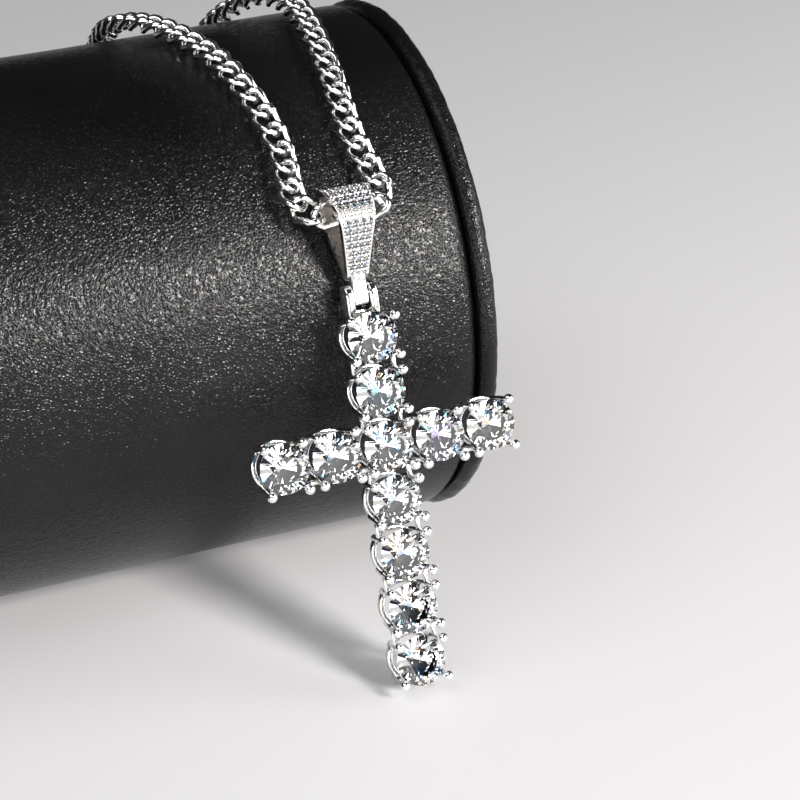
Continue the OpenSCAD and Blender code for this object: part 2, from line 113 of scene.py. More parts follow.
def soft_light(name, side, rise, away, width, depth, watts, colour):
    """A soft light aimed at the cross: angles in degrees, distance and sizes in metres."""
    side, rise = math.radians(side), math.radians(rise)
    flat_part = math.cos(rise)
    towards = Vector((math.sin(side) * flat_part, -math.cos(side) * flat_part, math.sin(rise)))
    place = cross_middle + towards * away
    bpy.ops.object.light_add(type="AREA", location=place)
    lamp = bpy.context.object
    lamp.name = name
    lamp.data.shape = "RECTANGLE"
    lamp.data.size = width
    lamp.data.size_y = depth
    lamp.data.energy = watts
    lamp.data.color = colour
    lamp.visible_camera = False
    lamp.matrix_world = Matrix.Translation(place) @ towards.to_track_quat("Z", "Y").to_matrix().to_4x4()


soft_light("key_light", 26, 28, 0.75, 0.17, 0.27, 11.5, (1, 0.97, 0.94))
soft_light("left_card", -35, 8, 0.7, 0.7, 0.3, 3.2, (1, 0.98, 0.97))
soft_light("right_card", 66, 10, 0.7, 0.5, 0.3, 2.2, (1, 0.99, 0.98))
soft_light("right_light", 72, 36, 0.8, 0.3, 0.3, 1.2, (1, 0.99, 0.98))
soft_light("top_light", -70, 60, 0.8, 0.8, 0.45, 2.6, (1, 1, 1))
soft_light("front_card", 20, 10, 0.7, 0.28, 0.14, 0.15, (1, 1, 1))

# %% The room around
studio = bpy.context.scene
world = studio.world or bpy.data.worlds.new("studio")
studio.world = world
world.use_nodes = True
world.node_tree.nodes["Background"].inputs["Color"].default_value = (0.9, 0.94, 1, 1)
world.node_tree.nodes["Background"].inputs["Strength"].default_value = 0.04
studio.view_settings.view_transform = "Standard"
print("view transform:", studio.view_settings.view_transform)

# %% [markdown]
# ## Three finishes
#
# **Polished silver** mirrors its surroundings, but a hand-polished surface is never quite
# flat: it keeps a faint waviness and a little haze that varies from place to place. Both
# come from noise, one as bump and one as roughness.
#
# All the patterns read Object coordinates in metres. Every piece keeps its origin at the
# middle of the roll's base, so a pattern keeps its real scale on every piece.

# %% A blank material with its pattern coordinates


def blank_material(name):
    """A new material, its shader, and a helper that adds a node with some inputs set."""
    material = bpy.data.materials.new(name)
    material.use_nodes = True
    tree = material.node_tree
    shader = tree.nodes["Principled BSDF"]
    place = tree.nodes.new("ShaderNodeTexCoord").outputs["Object"]

    def add(kind, values=None, **settings):
        node = tree.nodes.new(kind)
        for key, value in settings.items():
            setattr(node, key, value)
        for key, value in (values or {}).items():
            if isinstance(value, bpy.types.NodeSocket):
                tree.links.new(value, node.inputs[key])
            else:
                node.inputs[key].default_value = value
        return node

    return material, shader, place, add, tree.links.new


# %% Silver
wave_h = 0.05 * MM


def polished_silver(name, tint, haze):
    """Silver of one tint, whose roughness lies around the haze."""
    material, shader, place, add, join = blank_material(name)
    shader.inputs["Base Color"].default_value = (*tint, 1)
    shader.inputs["Metallic"].default_value = 1
    waves = add("ShaderNodeTexNoise", {"Vector": place, "Scale": 450, "Detail": 2})
    rub = add("ShaderNodeTexNoise", {"Vector": place, "Scale": 2600, "Detail": 3})
    spread = add(
        "ShaderNodeMapRange",
        {
            "Value": rub.outputs["Fac"],
            "From Min": 0.3,
            "From Max": 0.7,
            "To Min": haze * 0.6,
            "To Max": haze * 1.5,
        },
    )
    join(spread.outputs["Result"], shader.inputs["Roughness"])
    bump = add("ShaderNodeBump", {"Height": waves.outputs["Fac"], "Strength": 0.25, "Distance": wave_h})
    join(bump.outputs["Normal"], shader.inputs["Normal"])
    return material


silver = polished_silver("polished_silver", (0.93, 0.925, 0.915), 0.09)
print("silver nodes:", len(silver.node_tree.nodes))

# %% [markdown]
# **The stones** are clear and bend light strongly: their refractive index is far above
# that of glass, which is why light that enters the top is thrown back out of it. The
# shader is plain refraction on the real facets. A cut stone also splits white light into
# colours. That fire is given by tinting a few of the facets, chosen by the direction in
# which each one faces, so that most glints stay white and a few turn blue, violet or
# amber.

# %% Stones
stone_index = 2.15
facing_scale = (3, 3, 3)


def clear_stone(name, fire):
    """A clear stone in which a share of the facets is tinted."""
    material, shader, _, add, join = blank_material(name)
    shader.inputs["Transmission Weight"].default_value = 1
    shader.inputs["IOR"].default_value = stone_index
    shader.inputs["Roughness"].default_value = 0.0
    facing = add("ShaderNodeNewGeometry").outputs["True Normal"]
    own = add("ShaderNodeObjectInfo").outputs["Random"]
    wide = add("ShaderNodeVectorMath", {0: facing, 1: facing_scale, 2: own}, operation="MULTIPLY_ADD")
    spot = add("ShaderNodeTexWhiteNoise", {"Vector": wide.outputs["Vector"]}, noise_dimensions="3D")
    tint = add("ShaderNodeValToRGB", {"Fac": spot.outputs["Value"]})
    tint.color_ramp.interpolation = "CONSTANT"
    tint.color_ramp.elements[0].color = (1, 1, 1, 1)
    tint.color_ramp.elements[1].position = 1 - fire
    tint.color_ramp.elements[1].color = (0.2, 0.45, 1, 1)
    for share, colour in ((0.7, (0.3, 0.9, 1, 1)), (0.45, (0.55, 0.4, 1, 1)), (0.2, (1, 0.6, 0.3, 1))):
        tint.color_ramp.elements.new(1 - fire * share).color = colour
    join(tint.outputs["Color"], shader.inputs["Base Color"])
    return material


# %% Give the stones their material
large_stone = clear_stone("clear_stone", 0.12)
small_stone = clear_stone("small_clear_stone", 0.15)
for name, node in frame["nodes"].items():
    if name.startswith("stone_"):
        node.data.materials.clear()
        node.data.materials.append(large_stone)
frame["nodes"]["pave_stones"].data.materials.clear()
frame["nodes"]["pave_stones"].data.materials.append(small_stone)
print("stones:", sum(name.startswith("stone_") for name in frame["nodes"]))

# %% [markdown]
# **The leather** is black, lightly glossy and pebbled. Each pebble is a small cushion
# about a third of a millimetre across with a valley round it, which is what a cell
# pattern gives. The pebbles are bent a little by noise, because real grain is never
# regular, and the tops are somewhat glossier than the valleys, from handling. The relief
# is low on purpose: low pebbles keep the sheen together in one band.

# %% Pebbles
swell_share = 2.2


def pebbles(place, add, cell):
    """The height of pebbles of one width, and how near each place is to a pebble's top."""
    drift = add("ShaderNodeTexNoise", {"Vector": place, "Scale": 0.7 / cell, "Detail": 2})
    bend = (0.9 * cell,) * 3
    bent = add(
        "ShaderNodeVectorMath",
        {0: drift.outputs["Color"], 1: bend, 2: place},
        operation="MULTIPLY_ADD",
    )
    cells = add(
        "ShaderNodeTexVoronoi",
        {"Vector": bent.outputs["Vector"], "Scale": 1 / cell},
        feature="DISTANCE_TO_EDGE",
    )
    top = add(
        "ShaderNodeMapRange",
        {"Value": cells.outputs["Distance"], "From Min": 0, "From Max": 0.45, "To Min": 0, "To Max": 1},
        interpolation_type="SMOOTHSTEP",
    )
    swell = add("ShaderNodeTexNoise", {"Vector": place, "Scale": 0.5 / cell, "Detail": 3})
    relief = add(
        "ShaderNodeMath",
        {0: swell.outputs["Fac"], 1: swell_share, 2: top.outputs["Result"]},
        operation="MULTIPLY_ADD",
    )
    return relief.outputs["Value"], top.outputs["Result"]


# %% Leather
valley_haze = 0.2


def pebbled_leather(name, cell, depth, shine):
    """Black leather from the width and depth of its pebbles and the roughness of their tops."""
    material, shader, place, add, join = blank_material(name)
    shader.inputs["Specular IOR Level"].default_value = 0.22
    height_on_it, top = pebbles(place, add, cell)
    bump = add("ShaderNodeBump", {"Height": height_on_it, "Strength": 1, "Distance": depth})
    join(bump.outputs["Normal"], shader.inputs["Normal"])
    gloss = add(
        "ShaderNodeMapRange",
        {
            "Value": top,
            "From Min": 0.3,
            "From Max": 0.9,
            "To Min": valley_haze,
            "To Max": shine,
        },
    )
    join(gloss.outputs["Result"], shader.inputs["Roughness"])
    wear = add("ShaderNodeTexNoise", {"Vector": place, "Scale": 60, "Detail": 4})
    shade = add("ShaderNodeValToRGB", {"Fac": wear.outputs["Fac"]})
    shade.color_ramp.elements[0].position = 0.3
    shade.color_ramp.elements[0].color = (0.002, 0.0019, 0.002, 1)
    shade.color_ramp.elements[1].position = 0.75
    shade.color_ramp.elements[1].color = (0.005, 0.0047, 0.0047, 1)
    join(shade.outputs["Color"], shader.inputs["Base Color"])
    return material


leather = pebbled_leather("black_pebbled_leather", 0.37 * MM, 0.046 * MM, 0.12)
rim_leather = pebbled_leather("black_rim_leather", 0.37 * MM, 0.038 * MM, 0.14)
print("leathers:", leather.name, rim_leather.name)

# %% [markdown]
# ## Tools of the bench
#
# Most metal parts here are turned shapes or bent wire, so two helpers do most of the
# work. The first draws a line of edges from point to point, as by hand. The second turns
# such a line about an axis, as a lathe would, closes its seam and makes it face outwards.

# %% Draw a line


def draw_line(name, points):
    """Draws edges from point to point and leaves them in edit mode, all selected."""
    bpy.ops.object.select_all(action="DESELECT")
    bpy.ops.mesh.primitive_plane_add(size=MM)
    piece = bpy.context.object
    piece.name = name
    piece.data.name = name
    bpy.ops.object.mode_set(mode="EDIT")
    bpy.ops.mesh.merge(type="CENTER")
    bpy.ops.transform.translate(value=points[0])
    for near, far in zip(points, points[1:]):
        bpy.ops.mesh.extrude_region_move(TRANSFORM_OT_translate={"value": Vector(far) - Vector(near)})
    bpy.ops.mesh.select_all(action="SELECT")
    return piece


# %% Turn a line and smooth it
same_spot = 0.001 * MM


def clean_up():
    """Merges what lies on one spot and turns every face outwards, in edit mode."""
    bpy.ops.mesh.select_all(action="SELECT")
    bpy.ops.mesh.remove_doubles(threshold=same_spot)
    bpy.ops.mesh.normals_make_consistent(inside=False)
    bpy.ops.object.mode_set(mode="OBJECT")


def turned(name, points, steps, axis=(0, 0, 1)):
    """A line turned all the way round an axis through the origin."""
    piece = draw_line(name, points)
    bpy.ops.mesh.spin(steps=steps, angle=2 * math.pi, center=(0, 0, 0), axis=axis)
    clean_up()
    return piece


def smooth(piece, degrees):
    """Smooth shading that stays sharp at the real edges."""
    bpy.ops.object.select_all(action="DESELECT")
    piece.select_set(True)
    bpy.context.view_layer.objects.active = piece
    bpy.ops.object.shade_smooth_by_angle(angle=math.radians(degrees))


# %% [markdown]
# ## One setting
#
# Each large stone sits in a basket: a gallery ring well below the stone and four prongs
# that rise from it past the stone's edge, each with a round ball at its tip. On the real
# piece it is cast in one with its neighbours and then polished, which softens every edge.
# One setting is made in its own frame, with the stone's edge at height zero, and copied.

# %% The gallery ring
stone_r = 2.95 * MM
gallery_r = 2.95 * MM
gallery_wall = 0.6 * MM
gallery_h = 0.8 * MM
gallery_drop = 3.7 * MM
soft = 0.14 * MM
nick = 0.3 * soft
hollow = 0.25 * soft

inner = gallery_r - gallery_wall
low = -gallery_drop
high = low + gallery_h
ring_section = [
    (gallery_r - soft, 0, low),
    (gallery_r - nick, 0, low + nick),
    (gallery_r, 0, low + soft),
    (gallery_r - hollow, 0, (low + high) / 2),
    (gallery_r, 0, high - soft),
    (gallery_r - nick, 0, high - nick),
    (gallery_r - soft, 0, high),
    (inner + soft, 0, high),
    (inner + nick, 0, high - nick),
    (inner, 0, high - soft),
    (inner, 0, low + soft),
    (inner + nick, 0, low + nick),
    (inner + soft, 0, low),
    (gallery_r - soft, 0, low),
]
gallery = turned("gallery_ring", ring_section, steps=56)
smooth(gallery, degrees=60)
print("gallery ring faces:", len(gallery.data.polygons))

# %% [markdown]
# A prong is a thin tapered rod, and its ball is a little drop of metal. Both are turned
# in one go: the outline runs up the rod, in at the neck and round the ball.

# %% The prongs
ball_r = 0.6 * MM
ball_rise = 0.96 * MM
ball_out = 0.52 * MM
prong_foot_r = 0.44 * MM
prong_neck_r = 0.34 * MM
prong_root = 0.25 * MM
prong_root_edge = 0.2 * MM
prong_foot = Vector((gallery_r - 0.05 * MM, 0, low + gallery_h / 2))
prong_tip = Vector((stone_r + ball_out, 0, ball_rise))
prong_l = (prong_tip - prong_foot).length

neck = math.asin(prong_neck_r / ball_r)
ball_steps = 9
prong_outline = [(0, 0, -prong_root), (prong_foot_r * 0.7, 0, -prong_root_edge), (prong_foot_r, 0, 0)]
prong_outline += [(prong_foot_r * 0.92, 0, prong_l * 0.5)]
for i in range(ball_steps + 1):
    angle = math.pi - neck - (math.pi - neck) * i / ball_steps
    prong_outline.append((ball_r * math.sin(angle), 0, prong_l + ball_r * math.cos(angle)))
prong = turned("prong", prong_outline, steps=18)
smooth(prong, degrees=70)

lean_out = Vector((0, 0, 1)).rotation_difference(prong_tip - prong_foot).to_matrix().to_4x4()
prong.data.transform(Matrix.Translation(prong_foot) @ lean_out)
print("prong faces:", len(prong.data.polygons), "length in mm:", round(prong_l / MM, 2))

# %% [markdown]
# ## The cross
#
# Eleven settings stand edge to edge along two arms. Short bars join each one to the next:
# two high ones between the prongs and a low one between the gallery rings. The cross
# leans back on the roll, so its own frame is turned by that lean. It hangs on the hinge
# pin, whose place the solid model gives, so all of it is measured from that pin.

# %% The cross's frame
pitch = 6.25 * MM
lean = math.radians(20)
pin_v = 17.3 * MM
pin_drop = 2.6 * MM
leaning = Matrix.Rotation(-lean, 4, "X")
cross_place = joint_place["cross_swing"] - leaning @ Vector((0, pin_drop, pin_v))
on_cross = Matrix.Translation(cross_place) @ leaning
print("middle of the cross in mm:", [round(x / MM, 3) for x in cross_place])


def on_setting(across, along):
    """A setting's frame: X across its arm, Y along it, Z out of its face."""
    quarter = 0 if across == 0 else math.pi / 2
    step = Matrix.Translation((across * pitch, 0, along * pitch))
    return on_cross @ step @ Matrix.Rotation(math.pi / 2, 4, "X") @ Matrix.Rotation(quarter, 4, "Z")


# How many steps across and along each setting stands from the middle one
settings = [
    (0, 0), (0, 1), (0, 2), (-1, 0), (-2, 0), (1, 0), (2, 0),
    (0, -1), (0, -2), (0, -3), (0, -4),
]
print("settings:", len(settings))

# %% A bar and the places that it joins
middle_spread = 45
arm_spread = 40


def bar(name, start, end, radius):
    """A round bar with softened ends between two points."""
    length = (end - start).length
    end_r = radius * 0.8
    end_l = radius * 0.3
    outline = [(0, 0, 0), (end_r, 0, 0), (radius, 0, end_l)]
    outline += [(radius, 0, length - end_l), (end_r, 0, length), (0, 0, length)]
    piece = turned(name, outline, steps=12)
    smooth(piece, degrees=60)
    aim = Vector((0, 0, 1)).rotation_difference(end - start).to_matrix().to_4x4()
    piece.data.transform(Matrix.Translation(start) @ aim)
    return piece


def prong_turns(across, along):
    """The four directions of a setting's prongs, in degrees."""
    spread = middle_spread if (across, along) == (0, 0) else arm_spread
    return [spread, 180 - spread, 180 + spread, -spread]


def prong_at(angle, depth):
    """A point on a prong at a depth below the stone's edge."""
    share = (-depth - prong_foot.z) / (prong_tip.z - prong_foot.z)
    point = prong_foot.lerp(prong_tip, share)
    return Matrix.Rotation(math.radians(angle), 4, "Z") @ point


# %% Bars between the settings
bar_r = 0.3 * MM
bar_depth = 1.2 * MM
next_setting = Vector((0, pitch, 0))
rim = gallery_r - gallery_wall / 2
low_bar = bar("low_bar", Vector((0, rim, prong_foot.z)), Vector((0, pitch - rim, prong_foot.z)), bar_r)
high_bars = {}
for spread in (middle_spread, arm_spread):
    pair = []
    for side in (-1, 1):
        near = prong_at(90 - side * (90 - spread), bar_depth)
        far = prong_at(-90 + side * (90 - arm_spread), bar_depth) + next_setting
        pair.append(bar("high_bar", near, far, bar_r))
    high_bars[spread] = pair
print("bar sets:", 1 + len(high_bars))

# %% [markdown]
# Every piece that repeats is modelled once and copied. A copy gets a mesh of its own, and
# its place goes into the mesh, so the object itself stays at the origin and the patterns
# of its material don't slide.

# %% Copy and join


def placed_copy(piece, matrix):
    """A copy with a mesh of its own, moved to its place in the mesh."""
    copy = piece.copy()
    copy.data = piece.data.copy()
    copy.data.transform(matrix)
    bpy.context.scene.collection.objects.link(copy)
    return copy


def joined(name, pieces, material):
    """One piece from several, in one material."""
    bpy.ops.object.select_all(action="DESELECT")
    for piece in pieces:
        piece.data.materials.clear()
        piece.data.materials.append(material)
        piece.select_set(True)
    bpy.context.view_layer.objects.active = pieces[0]
    bpy.ops.object.join()
    whole = bpy.context.object
    whole.name = name
    whole.data.name = name
    return whole


def discard(*pieces):
    """Removes the patterns once their copies are in place."""
    for piece in pieces:
        bpy.data.objects.remove(piece, do_unlink=True)


# %% Put the cross together
frame_pieces = []
for across, along in settings:
    place = on_setting(across, along)
    frame_pieces.append(placed_copy(gallery, place))
    for angle in prong_turns(across, along):
        frame_pieces.append(placed_copy(prong, place @ Matrix.Rotation(math.radians(angle), 4, "Z")))

# The direction of each arm in degrees, and how many settings it has
arms = {0: 2, 90: 2, 180: 4, 270: 2}
for quarter, steps in arms.items():
    arm_turn = Matrix.Rotation(math.radians(quarter), 4, "Z")
    face_on = on_cross @ Matrix.Rotation(math.pi / 2, 4, "X") @ arm_turn
    for i in range(steps):
        place = face_on @ Matrix.Translation((0, i * pitch, 0))
        for piece in [low_bar] + high_bars[middle_spread if i == 0 else arm_spread]:
            frame_pieces.append(placed_copy(piece, place))
discard(gallery, prong, low_bar, *high_bars[middle_spread], *high_bars[arm_spread])
print("pieces in the cross:", len(frame_pieces))

# %% [markdown]
# ## The hinge
#
# Two ears stand on the top setting and hold the bail's tab on a pin. Each ear is a flat
# plate with a round top. It is drawn from the side, filled, pulled out to its thickness
# and then bevelled, because polishing rounds the edges and those edges catch the light.

# %% Ears
ear_r = 1.25 * MM
ear_w = 0.95 * MM
ear_in = 0.95 * MM
ear_foot_v = 14.4 * MM
ear_soft = 0.2 * MM
ear_steps = 24

ear_line = [(0, pin_drop + ear_r, ear_foot_v), (0, pin_drop - ear_r, ear_foot_v)]
for i in range(ear_steps + 1):
    angle = math.pi * i / ear_steps
    ear_line.append((0, pin_drop - ear_r * math.cos(angle), pin_v + ear_r * math.sin(angle)))
ear_line.append(ear_line[0])
ear = draw_line("ear", ear_line)
bpy.ops.mesh.remove_doubles(threshold=same_spot)
bpy.ops.mesh.select_all(action="SELECT")
bpy.ops.mesh.edge_face_add()
bpy.ops.mesh.extrude_region_move(TRANSFORM_OT_translate={"value": (ear_w, 0, 0)})
clean_up()
bpy.ops.object.modifier_add(type="BEVEL")
rounding = ear.modifiers["Bevel"]
rounding.width = ear_soft
rounding.segments = 3
rounding.limit_method = "ANGLE"
rounding.angle_limit = math.radians(50)
bpy.ops.object.modifier_apply(modifier="Bevel")
smooth(ear, degrees=50)
print("ear faces:", len(ear.data.polygons))

# %% Finish the cross's metal
for shift in (ear_in, -ear_in - ear_w):
    frame_pieces.append(placed_copy(ear, on_cross @ Matrix.Translation((shift, 0, 0))))
discard(ear)

cross_metal = joined("cross_metal", frame_pieces, silver)
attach(cross_metal, "cross")
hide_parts("cross_frame")
print("cross metal faces:", len(cross_metal.data.polygons))

# %% [markdown]
# The pin is a rivet: a plain rod whose two ends are hammered into low round heads. It is
# turned about its own length.

# %% Rivet
pin_r = 0.4 * MM
ear_out = ear_in + ear_w
rivet_head = 0.12 * MM
brim_r = pin_r * 1.15
crown_r = pin_r * 0.6
crown_out = ear_out + rivet_head * 0.8
rivet_line = [
    (-ear_out - rivet_head, 0, 0),
    (-crown_out, 0, crown_r),
    (-ear_out, 0, brim_r),
    (-ear_out, 0, pin_r),
    (ear_out, 0, pin_r),
    (ear_out, 0, brim_r),
    (crown_out, 0, crown_r),
    (ear_out + rivet_head, 0, 0),
]
rivet = turned("hinge_rivet", rivet_line, steps=20, axis=(1, 0, 0))
smooth(rivet, degrees=40)
rivet.data.transform(on_cross @ Matrix.Translation((0, pin_drop, pin_v)))
rivet.data.materials.append(silver)
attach(rivet, "cross")
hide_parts("hinge_pin")
print("rivet faces:", len(rivet.data.polygons))

# %% [markdown]
# ## The bail
#
# The bail is the loop that the chain runs through. From the side it is a round head and a
# small round foot with straight sides between them, and from the front its sides curve in
# towards the foot. These few sizes say where its surface lies, so they come first.

# %% The bail's outline
head_rise = 8.7 * MM
head_r = 3.4 * MM
foot_rise = 2.55 * MM
foot_r = 0.9 * MM
head_w = 5.4 * MM
foot_w = 2.5 * MM
flare_r = 100 * MM
taper = math.asin((head_r - foot_r) / (head_rise - foot_rise))
side_l = (head_rise - foot_rise) * math.cos(taper)

bail_top = Vector((head_w / 2, head_rise + head_r))
bail_foot = Vector((foot_w / 2, foot_rise - foot_r))
bail_side = bail_top - bail_foot
reach = math.sqrt(flare_r**2 - bail_side.length_squared / 4)
flare = (bail_top + bail_foot) / 2 + Vector((bail_side.y, -bail_side.x)) * reach / bail_side.length
on_pin = on_cross @ Matrix.Translation((0, pin_drop, pin_v))
print("bail front in mm:", round((side_l + head_r * (math.pi / 2 + taper)) / MM, 2))

# %% Places on the bail's surface


def front_point(up_l):
    """A point of the bail's front, from the side: forward, up and the angle there."""
    if up_l < side_l:
        share = up_l / side_l
        forward = (foot_r + (head_r - foot_r) * share) * math.cos(taper)
        low_end = foot_rise - foot_r * math.sin(taper)
        high_end = head_rise - head_r * math.sin(taper)
        return forward, low_end + (high_end - low_end) * share, -taper
    angle = (up_l - side_l) / head_r - taper
    return head_r * math.cos(angle), head_rise + head_r * math.sin(angle), angle


def bail_half(v):
    """Half of the bail's width at a height above the pin."""
    return flare.x - math.sqrt(flare_r**2 - (v - flare.y) ** 2)


def away_from_strap(point):
    """The direction that the strap's outer side faces at a point of it."""
    hand = -1 if point.y > 0 else 1
    for rise, above_it in ((head_rise, 1), (foot_rise, -1)):
        if (point.z - rise + abs(point.y) * math.tan(taper)) * above_it > 0:
            return Vector((0, point.y, point.z - rise)).normalized()
    return Vector((0, -hand * math.cos(taper), -math.sin(taper)))


# %% [markdown]
# The CAD solid already has the bail's true shape, with a drilled hole for every small
# stone, so a copy of it is dressed. Its long thin triangles would shade badly, so each
# corner on the curved strap is told which way the true surface faces there. The back of
# the strap is polished. The inner side is hard to reach, so on real pieces it stays dull:
# it gets a satin finish, and its tint is darkened as painted shade. Between the small stones
# the front is cut with a graver and lies in their shadow, which is painted as a much darker
# tint. The hinge tab is finely brushed.

# %% Copy the bail
# The satin silver's roughness is the real dull finish; its dark tint is painted shade for the inside of
# the loop.
satin_and_shade = polished_silver("satin_silver_painted_shade", (0.36, 0.33, 0.31), 0.34)
# The cut silver's roughness is the graver's finish; its near-black tint is painted shade under the
# small stones' edges.
cut_and_shaded_metal = polished_silver("cut_silver_painted_shade", (0.14, 0.135, 0.13), 0.3)
brushed = polished_silver("brushed_silver", (0.93, 0.925, 0.915), 0.32)
bail = placed_copy(frame["nodes"]["bail"], on_pin.inverted())
bail.name = "bail_metal"
bail.parent = None
for key in list(bail.keys()):
    del bail[key]
bpy.ops.object.select_all(action="DESELECT")
bail.select_set(True)
bpy.context.view_layer.objects.active = bail
bpy.ops.object.mode_set(mode="EDIT")
bpy.ops.mesh.select_all(action="SELECT")
bpy.ops.mesh.remove_doubles(threshold=0.002 * MM)
bpy.ops.object.mode_set(mode="OBJECT")
smooth(bail, degrees=30)
print("bail faces:", len(bail.data.polygons))

# %% Tell each corner which way the true surface faces
close_to_true = 0.88
facing = [corner.vector.copy() for corner in bail.data.corner_normals]
turned_corners = 0
for face in bail.data.polygons:
    for corner in face.loop_indices:
        spot = bail.data.vertices[bail.data.loops[corner].vertex_index].co
        outwards = away_from_strap(spot)
        edge_x = math.copysign(flare.x, spot.x)
        sideways = Vector((edge_x - spot.x, 0, flare.y - spot.z)).normalized()
        for true_way in (outwards, -outwards, sideways):
            if face.normal.dot(true_way) > close_to_true and spot.z > foot_rise:
                facing[corner] = true_way
                turned_corners += 1
bail.data.normals_split_custom_set(facing)
print("corners set:", turned_corners, "of", len(facing))

# %% Give each face its finish and its painted shade
plain, dull_and_shaded, cut_and_shaded, fine_brushed = range(4)
clearly = 0.6
bail.data.materials.clear()
for finish in (silver, satin_and_shade, cut_and_shaded_metal, brushed):
    bail.data.materials.append(finish)
for face in bail.data.polygons:
    faces_out = face.normal.dot(away_from_strap(face.center))
    if face.center.z < foot_rise:
        face.material_index = fine_brushed
    # Faces inside the loop: satin finish, with painted shade in its tint.
    elif faces_out < -clearly:
        face.material_index = dull_and_shaded
    # Front faces between the small stones: cut finish, with painted shade in its tint.
    elif faces_out > clearly and face.center.y < 0:
        face.material_index = cut_and_shaded
    else:
        face.material_index = plain
print("dull faces:", sum(face.material_index == dull_and_shaded for face in bail.data.polygons))

# %% [markdown]
# A thin polished border runs along both edges of the strap, up the front, over the head
# and down the back. It is a line of points that follows the front and its mirror image,
# given a round section.

# %% Border
border_r = 0.11 * MM
border_in = 0.9 * border_r
top_l = side_l + head_r * (math.pi / 2 + taper)
border_steps = 84
borders = []
for hand in (-1, 1):
    points = []
    for i in range(border_steps + 1):
        along = 2 * top_l * i / border_steps
        forward, v, _ = front_point(min(along, 2 * top_l - along))
        if along < top_l:
            forward = -forward
        points.append((hand * (bail_half(v) - border_in), forward, v))
    border = draw_line("border", points)
    bpy.ops.object.mode_set(mode="OBJECT")
    bpy.ops.object.convert(target="CURVE")
    border.data.bevel_depth = border_r
    border.data.bevel_resolution = 2
    border.data.use_fill_caps = True
    bpy.ops.object.convert(target="MESH")
    border = bpy.context.object
    bpy.ops.object.mode_set(mode="EDIT")
    clean_up()
    smooth(border, degrees=50)
    border.data.transform(on_pin)
    borders.append(border)
bail.data.transform(on_pin)
print("border faces:", sum(len(piece.data.polygons) for piece in borders))

# %% Join the borders to the bail
for piece in borders:
    piece.data.materials.clear()
    piece.data.materials.append(silver)
bpy.ops.object.select_all(action="DESELECT")
for piece in [bail] + borders:
    piece.select_set(True)
bpy.context.view_layer.objects.active = bail
bpy.ops.object.join()
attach(bail, "bail")
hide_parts("bail")
print("bail with borders:", len(bail.data.polygons))

# %% [markdown]
# Small stones are held by beads: the setter raises tiny grains of metal from the web
# between the stones and pushes them over the stones' edges. Two go into each gap between
# neighbours, and two at each end of a row. The rows follow the same rule as the holes:
# each row is filled to the bail's width with stones of one size.

# %% Rows of small stones
largest_hole = 0.86 * MM
web = 0.1 * MM
edge_metal = 0.25 * MM
last_angle = math.radians(104)
front_l = side_l + head_r * (last_angle + taper)

pave_rows = []
start = 0
while start + largest_hole + web <= front_l:
    row_l = start + largest_hole / 2
    room = 2 * (bail_half(front_point(row_l)[1]) - edge_metal) + web
    count = math.ceil(room / (largest_hole + web))
    hole_d = room / count - web
    pave_rows.append((row_l, count, hole_d))
    start = row_l + hole_d / 2 + web
print("rows:", len(pave_rows), "small stones:", sum(row[1] for row in pave_rows))

# %% Beads
bead_r = 0.14 * MM
bead_flatness = 0.9
end_shift = 0.06 * MM
gap_share = 0.36
bpy.ops.object.select_all(action="DESELECT")
bpy.ops.mesh.primitive_uv_sphere_add(segments=8, ring_count=5, radius=bead_r)
bead = bpy.context.object
bpy.ops.object.mode_set(mode="EDIT")
bpy.ops.transform.resize(value=(1, 1, bead_flatness))
bpy.ops.object.mode_set(mode="OBJECT")
bpy.ops.object.shade_smooth()
beads = []
for row_l, count, hole_d in pave_rows:
    for k in range(count + 1):
        across = (k - count / 2) * (hole_d + web)
        if k in (0, count):
            across -= math.copysign(end_shift, across)
        for shift in (-gap_share, gap_share):
            forward, v, angle = front_point(row_l + shift * hole_d)
            stand_up = Matrix.Rotation(math.pi / 2 - angle, 4, "X")
            spot = Matrix.Translation((across, -forward, v)) @ stand_up
            beads.append(placed_copy(bead, on_pin @ spot))
discard(bead)
print("beads:", len(beads))
bead_metal = joined("pave_beads", beads, silver)
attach(bead_metal, "bail")

# %% [markdown]
# ## The curb chain
#
# A curb chain starts as plain oval links. The maker twists the whole chain until every
# link lies flat against the next. One link is made the same way: a ring of wire is cut
# in half, the halves are drawn apart to an oval, and it is twisted about its length, so
# the wire stays equally thick all round. Every link is then a copy of it.
#
# The chain follows the route that the solid model gives: over the roll on both sides,
# down behind it and round an open loop on the ground, 508 mm in all with its clasp.

# %% One link
wire_r = 0.45 * MM
link_half = 1.9 * MM
link_side = 1.8 * MM - wire_r
link_steps = 16
link_twist = math.radians(-112)
bpy.ops.object.select_all(action="DESELECT")
bpy.ops.mesh.primitive_torus_add(
    major_segments=link_steps, minor_segments=5, major_radius=link_side, minor_radius=wire_r
)
link = bpy.context.object
link.name = "link"
link.data.transform(Matrix.Rotation(math.pi / link_steps, 4, "Z"))
link.data.polygons.foreach_set("select", [False] * len(link.data.polygons))
link.data.edges.foreach_set("select", [False] * len(link.data.edges))
for corner in link.data.vertices:
    corner.select = corner.co.x > 0
bpy.ops.object.mode_set(mode="EDIT")
bpy.ops.transform.translate(value=(2 * (link_half - link_side), 0, 0))
bpy.ops.mesh.select_all(action="SELECT")
bpy.ops.transform.translate(value=(link_side - link_half, 0, 0))
bpy.ops.object.mode_set(mode="OBJECT")
bpy.ops.object.modifier_add(type="SIMPLE_DEFORM")
twist = link.modifiers["SimpleDeform"]
twist.deform_method = "TWIST"
twist.deform_axis = "X"
twist.angle = link_twist
bpy.ops.object.modifier_apply(modifier="SimpleDeform")
bpy.ops.object.shade_smooth()
print("link size in mm:", [round(x / MM, 2) for x in link.dimensions])

